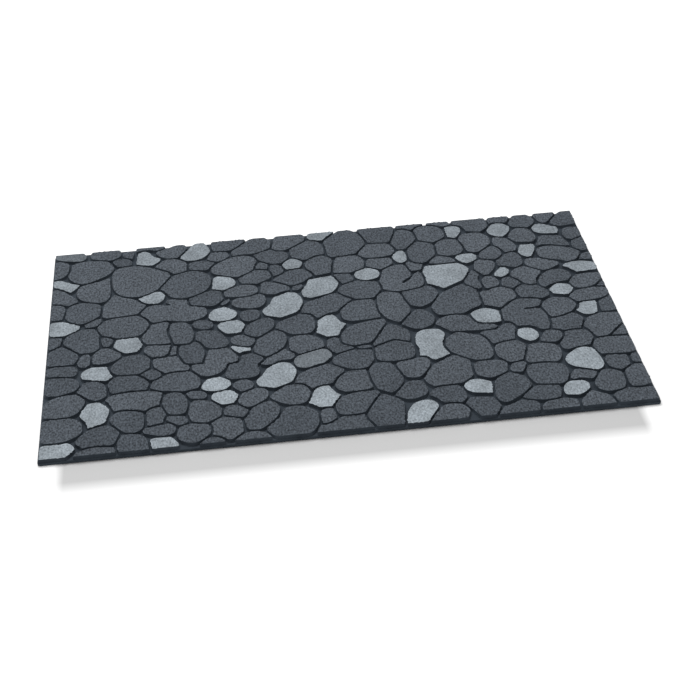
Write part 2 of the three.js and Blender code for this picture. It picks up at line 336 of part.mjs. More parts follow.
  [165, 30, 168, 36, 174, 40, 182, 41, 190, 40, 196, 37, 202, 37, 205, 32, 206, 26, 204, 19, 199, 13,
    191, 7, 184, 5, 177, 6, 171, 10, 167, 15, 164, 22],
  [43, 28, 48, 35, 53, 41, 59, 47, 69, 51, 80, 54, 87, 50, 93, 44, 97, 38, 95, 33, 92, 26, 89, 18,
    85, 16, 75, 18, 64, 18, 52, 15, 48, 21, 44, 25],
  [0, 25, 8, 26, 20, 25, 34, 27, 40, 22, 44, 15, 38, 8, 32, 0, 0, 0],
  [41, 0, 45, 8, 54, 12, 66, 15, 79, 14, 89, 11, 92, 6, 92, 0],
  [93, 18, 95, 26, 99, 33, 109, 32, 117, 31, 123, 28, 128, 20, 130, 12, 131, 0, 95, 0, 93, 8],
  [133, 19, 137, 21, 157, 20, 161, 15, 167, 5, 165, 0, 135, 0, 134, 9],
  [189, 0, 193, 7, 201, 12, 210, 13, 217, 9, 221, 4, 220, 0],
  [197, 110, 200, 119, 204, 126, 213, 127, 220, 129, 224, 124, 232, 118, 233, 110, 226, 103, 214, 101,
    203, 103, 198, 107],
  [208, 91, 211, 96, 222, 98, 232, 100, 241, 89, 238, 81, 235, 74, 227, 73, 220, 73, 214, 78, 209, 85],
  [177, 101, 183, 105, 192, 104, 199, 101, 203, 96, 202, 90, 199, 87, 191, 89, 183, 90, 179, 95],
  [179, 62, 181, 72, 183, 81, 187, 85, 200, 84, 208, 80, 214, 72, 219, 65, 220, 56, 217, 50, 209, 46,
    201, 42, 191, 42, 183, 45, 180, 53],
  [236, 106, 238, 113, 244, 118, 253, 118, 259, 114, 261, 107, 259, 100, 254, 96, 246, 95, 240, 99],
  [241, 76, 242, 84, 247, 90, 255, 95, 264, 98, 273, 97, 278, 91, 278, 83, 274, 76, 267, 70, 259, 64,
    252, 62, 246, 66, 242, 70],
  [221, 59, 224, 66, 231, 69, 239, 68, 247, 64, 252, 57, 251, 50, 245, 45, 236, 46, 228, 50, 222, 53],
  [206, 38, 212, 44, 221, 48, 228, 47, 235, 44, 241, 41, 244, 33, 245, 25, 243, 17, 237, 12, 230, 6,
    225, 6, 219, 11, 212, 14, 207, 17, 208, 26],
  [246, 40, 251, 46, 254, 53, 257, 59, 264, 64, 271, 69, 279, 70, 286, 66, 290, 58, 290, 50, 286, 41,
    281, 33, 272, 24, 264, 19, 252, 20, 247, 24, 247, 32],
  [231, 0, 235, 6, 242, 11, 249, 15, 260, 15, 269, 11, 274, 6, 277, 0],
  [265, 113, 271, 120, 276, 127, 279, 135, 287, 140, 296, 145, 304, 146, 310, 143, 315, 133, 317, 126,
    314, 117, 309, 106, 297, 100, 286, 95, 280, 98, 269, 102, 266, 108],
  [313, 102, 316, 111, 320, 118, 328, 124, 336, 128, 346, 130, 356, 134, 362, 132, 369, 126, 377, 120,
    375, 115, 368, 109, 363, 101, 360, 94, 352, 93, 344, 93, 338, 91, 333, 87, 330, 91, 326, 98,
    320, 100],
  [278, 78, 284, 85, 292, 91, 302, 97, 314, 98, 323, 96, 328, 89, 329, 80, 327, 70, 323, 63, 316, 60,
    304, 60, 295, 63, 290, 68, 283, 73],
  [326, 59, 331, 68, 332, 76, 337, 84, 344, 89, 354, 89, 357, 81, 360, 75, 366, 69, 361, 62, 356, 55,
    353, 49, 337, 49, 333, 54],
  [293, 44, 293, 51, 298, 55, 309, 56, 320, 54, 328, 48, 334, 40, 336, 31, 335, 22, 332, 14, 327, 7,
    321, 0, 283, 0, 279, 6, 273, 14, 272, 19, 279, 26, 287, 34],
  [338, 25, 337, 37, 340, 43, 348, 45, 354, 44, 355, 37, 358, 31, 357, 26, 352, 21, 345, 17, 339, 18],
  // near bands, right half
  [363, 139, 366, 146, 374, 151, 382, 156, 393, 159, 405, 158, 416, 155, 418, 146, 417, 135, 412, 126,
    407, 120, 399, 118, 387, 119, 377, 123, 370, 128, 364, 132],
  [419, 159, 429, 163, 438, 167, 449, 171, 460, 167, 468, 161, 471, 148, 470, 138, 466, 131, 459, 128,
    449, 126, 437, 127, 425, 129, 420, 134, 419, 146],
  [361, 88, 363, 97, 368, 105, 375, 111, 382, 115, 391, 116, 403, 114, 405, 107, 405, 97, 406, 87,
    409, 78, 402, 76, 387, 74, 373, 74, 365, 79],
  [408, 114, 410, 120, 416, 126, 425, 127, 436, 124, 440, 119, 442, 110, 444, 102, 447, 93, 446, 84,
    442, 75, 435, 67, 429, 63, 422, 67, 413, 75, 409, 85, 407, 97],
  [441, 120, 446, 124, 459, 126, 467, 128, 474, 129, 481, 127, 486, 121, 485, 111, 480, 101, 474, 94,
    467, 89, 459, 89, 452, 92, 448, 99, 444, 108],
  [472, 85, 476, 93, 482, 102, 488, 111, 495, 115, 508, 122, 517, 127, 523, 124, 529, 119, 535, 114,
    536, 107, 535, 99, 536, 90, 535, 83, 527, 77, 519, 70, 509, 68, 496, 69, 483, 68, 478, 72, 475, 78],
  [510, 158, 514, 164, 521, 170, 528, 174, 536, 174, 546, 169, 558, 164, 565, 157, 568, 147, 569, 132,
    567, 121, 562, 114, 555, 111, 546, 112, 536, 117, 525, 126, 516, 134, 512, 143, 510, 150],
  [538, 91, 537, 100, 539, 106, 545, 109, 559, 109, 569, 109, 576, 106, 580, 100, 581, 92, 577, 85,
    570, 80, 564, 77, 557, 74, 550, 75, 544, 79, 539, 82],
  [431, 57, 436, 63, 442, 70, 448, 79, 454, 83, 464, 83, 470, 79, 473, 70, 473, 61, 470, 54, 463, 50,
    454, 47, 445, 48, 437, 53],
  [357, 40, 358, 50, 361, 57, 367, 64, 375, 68, 384, 70, 398, 71, 412, 71, 414, 66, 409, 58, 402, 48,
    398, 39, 391, 32, 382, 28, 366, 29, 359, 32],
  [330, 0, 332, 8, 337, 14, 345, 15, 353, 18, 359, 24, 364, 27, 377, 25, 390, 27, 391, 20, 393, 13,
    398, 8, 399, 0],
  [393, 25, 398, 35, 403, 45, 409, 55, 415, 61, 420, 62, 428, 56, 436, 50, 441, 43, 440, 32, 438, 20,
    436, 9, 436, 0, 404, 0, 400, 8, 394, 16],
  [438, 0, 440, 11, 443, 22, 448, 33, 453, 39, 464, 43, 474, 42, 480, 36, 481, 29, 477, 19, 469, 9, 462, 0],
  [473, 55, 479, 61, 485, 65, 498, 67, 512, 66, 517, 60, 518, 50, 520, 41, 517, 34, 511, 31, 500, 34,
    490, 34, 485, 39, 479, 48, 474, 51],
  [483, 26, 490, 30, 500, 31, 510, 28, 515, 23, 518, 16, 516, 9, 512, 0, 466, 0, 472, 9, 478, 18],
  [521, 40, 530, 39, 548, 36, 552, 33, 554, 25, 556, 18, 551, 10, 546, 2, 530, 0, 524, 10, 519, 20,
    515, 29],
  [550, 0, 556, 10, 560, 15, 569, 18, 577, 22, 583, 25, 590, 23, 599, 20, 602, 14, 601, 6, 600, 0],
  [518, 62, 521, 67, 529, 73, 539, 74, 546, 71, 553, 66, 554, 54, 552, 43, 540, 46, 528, 48, 521, 54],
  [554, 38, 555, 50, 556, 62, 560, 69, 567, 76, 578, 80, 587, 77, 594, 73, 598, 69, 602, 61, 602, 53,
    596, 45, 587, 37, 578, 30, 568, 24, 562, 23, 556, 27],
  [560, 168, 564, 172, 580, 172, 586, 177, 594, 184, 604, 186, 608, 179, 607, 172, 605, 166, 604, 156,
    602, 149, 591, 148, 580, 147, 573, 143, 570, 146, 568, 156, 564, 163],
  [572, 134, 575, 140, 583, 144, 592, 146, 602, 146, 608, 141, 612, 135, 612, 127, 609, 118, 605, 109,
    603, 104, 594, 103, 586, 101, 582, 104, 579, 110, 573, 114, 571, 124],
  [605, 102, 607, 111, 610, 120, 613, 129, 617, 134, 627, 136, 637, 134, 649, 130, 653, 122, 654, 112,
    652, 104, 648, 97, 643, 94, 632, 96, 619, 96, 609, 97],
  [633, 140, 636, 147, 640, 156, 644, 161, 652, 161, 662, 159, 664, 153, 664, 146, 658, 139, 652, 135,
    642, 136],
  [656, 130, 662, 138, 667, 146, 668, 154, 675, 157, 687, 158, 697, 154, 701, 147, 701, 137, 698, 130,
    694, 123, 681, 122, 671, 120, 663, 116, 658, 120],
  [695, 163, 697, 171, 701, 176, 705, 180, 712, 183, 719, 187, 726, 189, 750, 187, 750, 168, 746, 162,
    738, 156, 732, 149, 727, 142, 720, 139, 707, 138, 704, 143, 703, 150, 699, 158],
  [726, 138, 731, 144, 736, 150, 742, 156, 750, 161, 750, 136, 738, 136],
  [698, 128, 703, 133, 717, 135, 730, 136, 750, 134, 750, 102, 738, 99, 728, 99, 713, 101, 703, 101,
    700, 108, 697, 118],
  [654, 95, 658, 104, 666, 111, 675, 117, 684, 119, 693, 115, 698, 104, 700, 91, 700, 80, 696, 73,
    690, 70, 675, 75, 663, 80, 656, 87],
  [704, 91, 708, 97, 720, 97, 732, 94, 734, 85, 732, 75, 726, 69, 719, 66, 711, 69, 705, 75, 703, 83],
  [737, 89, 740, 95, 750, 98, 750, 76, 740, 76, 737, 80],
  [582, 92, 586, 98, 592, 101, 602, 101, 605, 96, 601, 90, 599, 82, 595, 79, 584, 82, 582, 87],
  [601, 80, 602, 87, 606, 92, 619, 94, 632, 93, 643, 90, 650, 87, 653, 79, 654, 71, 651, 62, 646, 54,
    639, 50, 629, 50, 618, 51, 608, 53, 604, 60, 601, 69],
  [652, 62, 655, 69, 661, 75, 671, 72, 681, 69, 687, 65, 686, 58, 681, 54, 677, 53, 672, 55, 665, 57,
    655, 56, 650, 57],
  [678, 40, 680, 48, 684, 54, 688, 61, 694, 67, 703, 69, 711, 65, 717, 60, 718, 50, 717, 39, 713, 30,
    704, 26, 693, 25, 685, 28, 680, 33],
  [721, 59, 723, 65, 732, 70, 738, 74, 750, 73, 750, 33, 737, 30, 723, 30, 720, 38, 721, 49],
  [637, 31, 639, 41, 643, 49, 650, 51, 666, 51, 672, 45, 671, 36, 664, 30, 655, 24, 648, 25, 639, 26],
  [586, 30, 593, 38, 600, 46, 607, 50, 613, 49, 624, 48, 634, 46, 636, 40, 634, 31, 631, 24, 620, 21,
    609, 21, 599, 24, 589, 26],
  [604, 0, 604, 8, 608, 14, 614, 17, 623, 18, 633, 20, 643, 19, 650, 16, 651, 8, 649, 0],
  [653, 0, 654, 11, 657, 17, 663, 22, 669, 28, 673, 30, 678, 25, 687, 21, 691, 16, 694, 8, 695, 0],
  [694, 17, 701, 22, 712, 25, 717, 28, 724, 26, 737, 26, 750, 27, 750, 0, 699, 0, 697, 9],
];

// Points of one drawn outline, anticlockwise, in millimetres from the near-left corner
function placeOutline(numbers) {
  const points = [];
  for (let i = 0; i < numbers.length; i += 2) {
    points.push(new THREE.Vector2(
      (numbers[i] * matLength) / sheetLength,
      (numbers[i + 1] * matWidth) / sheetWidth,
    ));
  }
  return THREE.ShapeUtils.isClockWise(points) ? points.reverse() : points;
}

// Step from a corner of an anticlockwise outline that moves both its sides out by one
function outwardStep(outline, corner) {
  const count = outline.length;
  const here = outline[corner];
  const before = here.clone().sub(outline[(corner + count - 1) % count]).normalize();
  const after = outline[(corner + 1) % count].clone().sub(here).normalize();
  const across = new THREE.Vector2(before.y + after.y, -before.x - after.x);
  const spread = Math.max(1 + before.dot(after), tinyLength);
  return across.divideScalar(spread).clampLength(0, mitreLimit);
}

function offsetOutline(outline, distance) {
  return outline.map((point, corner) => (
    point.clone().addScaledVector(outwardStep(outline, corner), distance)
  ));
}

function isInside(point, outline) {
  let inside = false;
  outline.forEach((start, i) => {
    const end = outline[(i + 1) % outline.length];
    const crosses = (start.y > point.y) !== (end.y > point.y);
    const share = (point.y - start.y) / (end.y - start.y);
    if (crosses && point.x < start.x + share * (end.x - start.x)) {
      inside = !inside;
    }
  });
  return inside;
}

function distanceToSide(point, start, end) {
  const side = end.clone().sub(start);
  const along = THREE.MathUtils.clamp(point.clone().sub(start).dot(side) / side.lengthSq(), 0, 1);
  return point.distanceTo(side.multiplyScalar(along).add(start));
}

// Clear distance from a point to an outline, negative where the point is inside it
function clearance(point, outline) {
  const nearest = outline.reduce((least, start, i) => (
    Math.min(least, distanceToSide(point, start, outline[(i + 1) % outline.length]))
  ), Infinity);
  return isInside(point, outline) ? -nearest : nearest;
}

// Two stones that face each other across a groove each give or take half the difference to
// the groove's width. A wide void where three or more stones meet stays as it was drawn.
function settleOutlines(drawn) {
  const widest = grooveWidth + 2 * settleRounds * growthPerRound;
  let outlines = drawn;
  for (let round = 0; round < settleRounds; round += 1) {
    const boxes = outlines.map((outline) => new THREE.Box2().setFromPoints(outline));
    outlines = outlines.map((outline, own) => {
      const reach = boxes[own].clone().expandByScalar(widest);
      const near = outlines.filter((other, i) => i !== own && reach.intersectsBox(boxes[i]));
      return outline.map((point, corner) => {
        const gap = near.reduce((least, other) => Math.min(least, clearance(point, other)), Infinity);
        const growth = gap > widest ? 0 : Math.min((gap - grooveWidth) / 2, growthPerRound);
        return point.clone().addScaledVector(outwardStep(outline, corner).normalize(), growth);
      });
    });
  }
  return outlines;
}

// The outline without the points that lie on the straight between their neighbours
function straighten(outline) {
  const kept = [...outline];
  for (let i = kept.length - 1; i >= 0; i -= 1) {
    const before = kept[(i + kept.length - 1) % kept.length];
    const after = kept[(i + 1) % kept.length];
    if (distanceToSide(kept[i], before, after) < straightness) {
      kept.splice(i, 1);
    }
  }
  return kept;
}

// The part of an outline on the side of a line that its inward direction points to
function trimAtLine(outline, onLine, inward) {
  const depth = (point) => point.clone().sub(onLine).dot(inward);
  return outline.flatMap((start, i) => {
    const end = outline[(i + 1) % outline.length];
    const kept = depth(start) >= 0 ? [start] : [];
    if ((depth(start) >= 0) !== (depth(end) >= 0)) {
      kept.push(start.clone().lerp(end, depth(start) / (depth(start) - depth(end))));
    }
    return kept;
  });
}

// The pattern runs on past the mat and is cut off just inside its edges
function trimToMat(outline) {
  const inset = edgeLip + wallDraft;
  const nearLeft = new THREE.Vector2(inset, inset);
  const farRight = new THREE.Vector2(matLength - inset, matWidth - inset);
  const edges = [
    [nearLeft, new THREE.Vector2(1, 0)],
    [nearLeft, new THREE.Vector2(0, 1)],
    [farRight, new THREE.Vector2(-1, 0)],
    [farRight, new THREE.Vector2(0, -1)],
  ];
  return edges.reduce((rest, [onLine, inward]) => trimAtLine(rest, onLine, inward), outline);
}

// Base sheet: a rectangle with small rounded corners
function baseSheet() {
  const shape = new THREE.Shape();
  const right = matLength - cornerRadius;
  const far = matWidth - cornerRadius;
  shape.absarc(cornerRadius, cornerRadius, cornerRadius, Math.PI, 1.5 * Math.PI);
  shape.absarc(right, cornerRadius, cornerRadius, 1.5 * Math.PI, 2 * Math.PI);
  shape.absarc(right, far, cornerRadius, 0, 0.5 * Math.PI);
  shape.absarc(cornerRadius, far, cornerRadius, 0.5 * Math.PI, Math.PI);
  return new THREE.ExtrudeGeometry(shape, {
    depth: baseThickness,
    bevelEnabled: false,
    curveSegments: cornerSegments,
  });
}

// One stone: its foot outline extruded upwards, with the top ring drawn in by the draft
function stone(topOutline) {
  const foot = offsetOutline(topOutline, wallDraft);
  const topOf = new Map(foot.map((point, i) => (
    [`${Math.fround(point.x)} ${Math.fround(point.y)}`, topOutline[i]]
  )));
  const geometry = new THREE.ExtrudeGeometry(new THREE.Shape(foot), {
    depth: rootDepth + stoneHeight,
    bevelEnabled: false,
  });
  const position = geometry.getAttribute('position');
  for (let i = 0; i < position.count; i += 1) {
    if (position.getZ(i) > 0) {
      const top = topOf.get(`${position.getX(i)} ${position.getY(i)}`);
      position.setXY(i, top.x, top.y);
    }
  }
  return geometry.translate(0, 0, baseThickness - rootDepth);
}

const wasm = await Module();
wasm.setup();

function toSolid(geometry) {
  const bare = geometry.clone();
  bare.deleteAttribute('normal');
  bare.deleteAttribute('uv');
  const merged = mergeVertices(bare, tinyLength);
  return new wasm.Manifold(new wasm.Mesh({
    numProp: 3,
    vertProperties: new Float32Array(merged.getAttribute('position').array),
    triVerts: new Uint32Array(merged.getIndex().array),
  }));
}

function toGeometry(solid) {
  const mesh = solid.getMesh();
  const geometry = new THREE.BufferGeometry();
  geometry.setAttribute('position', new THREE.BufferAttribute(mesh.vertProperties, 3));
  geometry.setIndex(new THREE.BufferAttribute(mesh.triVerts, 1));
  geometry.computeVertexNormals();
  return geometry;
}

const settled = settleOutlines(stoneTops.map(placeOutline));
const outlines = settled
  .map((outline) => straighten(trimToMat(outline)))
  .filter((outline) => outline.length >= 3);
const moulded = outlines.reduce(
  (body, outline) => body.add(toSolid(stone(outline))),
  toSolid(baseSheet()),
);

const rubber = new THREE.MeshStandardMaterial({ color: 0x4d535a, roughness: 0.95, metalness: 0 });
const doormat = new THREE.Mesh(toGeometry(moulded), rubber);
doormat.name = 'doormat';
doormat.position.set(-matLength / 2, -matWidth / 2, 0);

const mat = new THREE.Group();
mat.add(doormat);

export default mat;
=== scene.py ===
import math
import random

import bpy
from mathutils import Matrix, Vector
from mathutils.geometry import delaunay_2d_cdt


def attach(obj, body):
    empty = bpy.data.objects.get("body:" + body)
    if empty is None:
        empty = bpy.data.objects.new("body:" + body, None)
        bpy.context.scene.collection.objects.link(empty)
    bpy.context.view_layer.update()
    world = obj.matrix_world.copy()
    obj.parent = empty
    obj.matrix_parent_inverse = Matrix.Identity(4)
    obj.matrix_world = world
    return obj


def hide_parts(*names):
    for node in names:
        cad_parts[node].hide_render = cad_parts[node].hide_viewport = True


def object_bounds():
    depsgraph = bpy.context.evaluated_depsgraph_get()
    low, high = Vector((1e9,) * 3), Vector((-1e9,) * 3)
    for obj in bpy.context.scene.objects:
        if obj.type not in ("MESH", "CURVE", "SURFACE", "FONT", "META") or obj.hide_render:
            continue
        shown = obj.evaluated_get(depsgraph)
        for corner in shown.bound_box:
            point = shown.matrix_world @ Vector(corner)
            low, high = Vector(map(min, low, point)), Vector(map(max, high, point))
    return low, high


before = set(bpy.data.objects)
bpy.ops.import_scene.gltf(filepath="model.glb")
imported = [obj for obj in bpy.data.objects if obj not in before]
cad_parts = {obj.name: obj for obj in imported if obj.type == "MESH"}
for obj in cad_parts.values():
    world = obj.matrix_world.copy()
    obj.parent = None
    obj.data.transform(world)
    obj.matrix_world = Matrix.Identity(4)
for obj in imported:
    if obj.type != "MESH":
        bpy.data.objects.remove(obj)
cad_low, cad_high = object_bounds()

# A rubber doormat with a river-stone relief, lying on a white floor. Metres, +Z up, the near
# long edge towards -Y. The moulding's own solid gives the outlines of the stones; the mat
# shown is rebuilt over them with rounded stones and gets its rubber and its flocked nap here.

MM = 0.001

MAT_LENGTH = cad_high.x - cad_low.x
MAT_WIDTH = cad_high.y - cad_low.y
MAT_HEIGHT = cad_high.z - cad_low.z
CORNER_RADIUS = 2.5 * MM
STONE_RELIEF = 4.5 * MM
WALL_DRAFT = 0.66 * MM
SHOULDER_RADIUS = 0.7 * MM
TOP_BAND = 0.5 * MM
SHEET_CHAMFER = 0.4 * MM
SHEET_CORNER_STEPS = 6
SHOULDER_STEPS = 3

# How the outlines of the stones are rounded
CORNER_TURN = math.radians(48)
CORNER_FILLET = 1.7 * MM
FAR_EDGE_FILLET = 3.5 * MM
SIDE_EDGE_FILLET = 6.5 * MM
POINT_SPACING = 2.3 * MM
MOST_BULGE = 0.4 * MM
# Share of an outline's side that the fillet at one of its ends may take
FILLET_SHARE = 0.4
LEAST_ARC_STEPS = 3
# Limits the step outward at a sharp point, where the two sides' shifts meet far away
SHARPEST_POINT = 0.3

# How far the top of a stone may be drawn in: share of its width, and least part of a side left
WIDTH_SHARE = 0.4
LEAST_SIDE = 0.15
EASING = 0.9
EASING_ROUNDS = 40

# Tolerances for points of the solid that count as one, as level and as on the mat's edge
SAME_POINT = 0.002 * MM
SAME_LEVEL = 0.01 * MM
AT_EDGE = 0.1 * MM

# Middles of the pale stones, in millimetres from the near-left corner of the mat
PALE_STONES = [
    (18, 368), (131, 418), (138, 318), (199, 427), (236, 339), (332, 371), (377, 441),
    (365, 311), (484, 366), (432, 330), (541, 310), (569, 418), (575, 347), (634, 412),
    (701, 405), (662, 353), (616, 303), (727, 302), (687, 251), (712, 203), (620, 157),
    (574, 206), (494, 155), (368, 216), (311, 274), (231, 265), (240, 234), (250, 182),
    (17, 265), (105, 213), (66, 158), (65, 77), (19, 13), (149, 10), (215, 115), (225, 86),
    (290, 121), (345, 69), (460, 22), (537, 60), (678, 95), (654, 38),
]
# Stones between the two greys, with their share of the pale one
HALF_PALE_STONES = {(341, 149): 0.28, (22, 440): 0.12}
# Share of the pale grey in a pale stone by the near edge, and how much of it painted shade takes away
# by the far edge
PALE_SHARES = (0.88, 1)
FAR_PAINTED_SHADE = 0.38
TONE_SEED = 7

BARE_RUBBER, DARK_NAP, PALE_NAP = 0, 1, 2

# Values between which most of a noise lies
NOISE_LOW, NOISE_HIGH = 0.3, 0.7

# Shadow on the floor in front of the mat
SHADOW_INDENT = 18 * MM
SHADOW_DEPTH = 46 * MM
SHADOW_BLUR = 13 * MM
# The floor lies just under the mat, so that the two faces don't coincide
FLOOR_GAP = 0.4 * MM
FLOOR_REACH = 6.0


def from_corner(x, y):
    """Place on the mat, given in millimetres from its near-left corner."""
    return Vector((cad_low.x + x * MM, cad_low.y + y * MM))


# Outlines of the stones


def top_outlines(node, level):
    """Closed outlines of the faces of a solid that lie at one level, as lists of points."""
    mesh = node.data
    merged = {}
    number = []
    points = []
    for vertex in mesh.vertices:
        key = tuple(round(c / SAME_POINT) for c in vertex.co)
        if key not in merged:
            merged[key] = len(points)
            points.append(vertex.co.copy())
        number.append(merged[key])
    sides = {}
    for polygon in mesh.polygons:
        ring = [number[v] for v in polygon.vertices]
        if all(abs(points[v].z - level) < SAME_LEVEL for v in ring):
            for start, end in zip(ring, ring[1:] + ring[:1]):
                sides[start, end] = True
    following = {start: end for start, end in sides if (end, start) not in sides}
    outlines = []
    while following:
        start, here = following.popitem()
        outline = [start]
        while here != start:
            outline.append(here)
            here = following.pop(here)
        outlines.append([points[v].xy.copy() for v in outline])
    return outlines


def turn_at(before, here, after):
    """Angle by which an outline turns at a point, positive to the left."""
    a = here - before
    b = after - here
    return math.atan2(a.x * b.y - a.y * b.x, a.dot(b))


def hermite(start, end, leave, arrive, share):
    """Point of a cubic between two points, with the tangents that it leaves and arrives by."""
    s2 = share * share
    s3 = s2 * share
    return (
        start * (2 * s3 - 3 * s2 + 1)
        + leave * (s3 - 2 * s2 + share)
        + end * (3 * s2 - 2 * s3)
        + arrive * (s3 - s2)
    )


def flattened(point, start, end):
    """The point, drawn back softly where the curve bulges out past its chord."""
    along = (end - start).normalized()
    outward = Vector((along.y, -along.x))
    bulge = (point - start).dot(outward)
    if bulge <= 0:
        return point
    return point + outward * (MOST_BULGE * math.tanh(bulge / MOST_BULGE) - bulge)


def fillet_at(point, reach):
    """How far a corner of a stone is rounded, most where a side edge of the mat cuts it."""
    at_side = abs(point.x) > reach.x
    if at_side and abs(point.y) <= reach.y:
        return SIDE_EDGE_FILLET
    if point.y > reach.y and not at_side:
        return FAR_EDGE_FILLET
    return CORNER_FILLET


def smooth_outline(outline, reach):
    """The outline as a smooth curve through its points, with small fillets at its corners."""
    count = len(outline)
    turns = [turn_at(outline[i - 1], outline[i], outline[(i + 1) % count]) for i in range(count)]
    is_corner = [
        abs(turn) > CORNER_TURN or abs(point.x) > reach.x or abs(point.y) > reach.y
        for turn, point in zip(turns, outline)
    ]
    directions = []
    for i in range(count):
        before = (outline[i] - outline[i - 1]).normalized()
        after = (outline[(i + 1) % count] - outline[i]).normalized()
        directions.append((before, after, (before + after).normalized()))
    smooth = []
    for i in range(count):
        j = (i + 1) % count
        start, end = outline[i].copy(), outline[j].copy()
        side = end - start
        length = side.length
        along = side.normalized()
        leave = along if is_corner[i] else directions[i][2]
        arrive = along if is_corner[j] else directions[j][2]
        if is_corner[i]:
            start += along * min(fillet_at(outline[i], reach), length * FILLET_SHARE)
        if is_corner[j]:
            end -= along * min(fillet_at(outline[j], reach), length * FILLET_SHARE)
        span = (end - start).length
        steps = max(1, round(span / POINT_SPACING))
        curve = [
            flattened(hermite(start, end, leave * span, arrive * span, s / steps), start, end)
            for s in range(steps + 1)
        ]
        smooth.extend(curve if is_corner[j] else curve[:-1])
        if is_corner[j]:
            next_length = (outline[(j + 1) % count] - outline[j]).length
            fillet = fillet_at(outline[j], reach)
            cut = min(fillet, next_length * FILLET_SHARE)
            next_start = outline[j] + directions[j][1] * cut
            arc_steps = max(LEAST_ARC_STEPS, round(2 * fillet / POINT_SPACING))
            for step in range(1, arc_steps):
                share = step / arc_steps
                rest = 1 - share
                smooth.append(
                    end * rest * rest + outline[j] * 2 * rest * share + next_start * share * share
                )
    return smooth


def outward_steps(outline):
    """For each point of an anticlockwise outline, the step that moves both its sides out by 1."""
    count = len(outline)
    steps = []
    for i in range(count):
        before = (outline[i] - outline[i - 1]).normalized()
        after = (outline[(i + 1) % count] - outline[i]).normalized()
        across = Vector((before.y + after.y, -before.x - after.x))
        steps.append(across / max(1 + before.dot(after), SHARPEST_POINT))
    return steps


def width_inward(outline, number, step):
    """How many steps inward from a point of an outline its far side is met."""
    here = outline[number]
    count = len(outline)
    parallel = 1e-12
    nearest = math.inf
    for i in range(count):
        j = (i + 1) % count
        if number in (i, j):
            continue
        side = outline[j] - outline[i]
        across = side.cross(step)
        if abs(across) < parallel:
            continue
        offset = outline[i] - here
        steps = offset.cross(side) / across
        along = offset.cross(step) / across
        if steps > 0 and 0 <= along <= 1:
            nearest = min(nearest, steps)
    return nearest


def inset_shares(foot, outward):
    """Share of the whole inset that each point of a foot takes, so that the top never folds."""
    depth = WALL_DRAFT + SHOULDER_RADIUS + TOP_BAND
    count = len(foot)
    shares = [
        min(1, WIDTH_SHARE * width_inward(foot, i, outward[i]) / depth) for i in range(count)
    ]
    for _ in range(EASING_ROUNDS):
        for i in range(count):
            j = (i + 1) % count
            side = foot[j] - foot[i]
            drawn = side - (outward[j] * shares[j] - outward[i] * shares[i]) * depth
            if drawn.dot(side) < LEAST_SIDE * side.dot(side):
                shares[i] *= EASING
                shares[j] *= EASING
    return shares


def signed_area(outline):
    """Area within an outline, positive when it runs anticlockwise."""
    return 0.5 * sum(a.cross(b) for a, b in zip(outline, outline[1:] + outline[:1]))


def holds(outline, point):
    """Whether a point lies inside an outline."""
    inside = False
    for a, b in zip(outline, outline[1:] + outline[:1]):
        if (a.y > point.y) != (b.y > point.y):
            if point.x < a.x + (point.y - a.y) / (b.y - a.y) * (b.x - a.x):
                inside = not inside
    return inside


# The mat's mesh


def rounded_rectangle(inset):
    """Anticlockwise outline of the base sheet, drawn in by an inset."""
    least_radius = 0.2 * MM
    radius = max(CORNER_RADIUS - inset, least_radius)
    right = MAT_LENGTH / 2 - inset - radius
    far = MAT_WIDTH / 2 - inset - radius
    outline = []
    for number, (x, y) in enumerate([(right, far), (-right, far), (-right, -far), (right, -far)]):
        for step in range(SHEET_CORNER_STEPS + 1):
            angle = math.pi / 2 * (number + step / SHEET_CORNER_STEPS)
            outline.append(Vector((x + radius * math.cos(angle), y + radius * math.sin(angle))))
    return outline


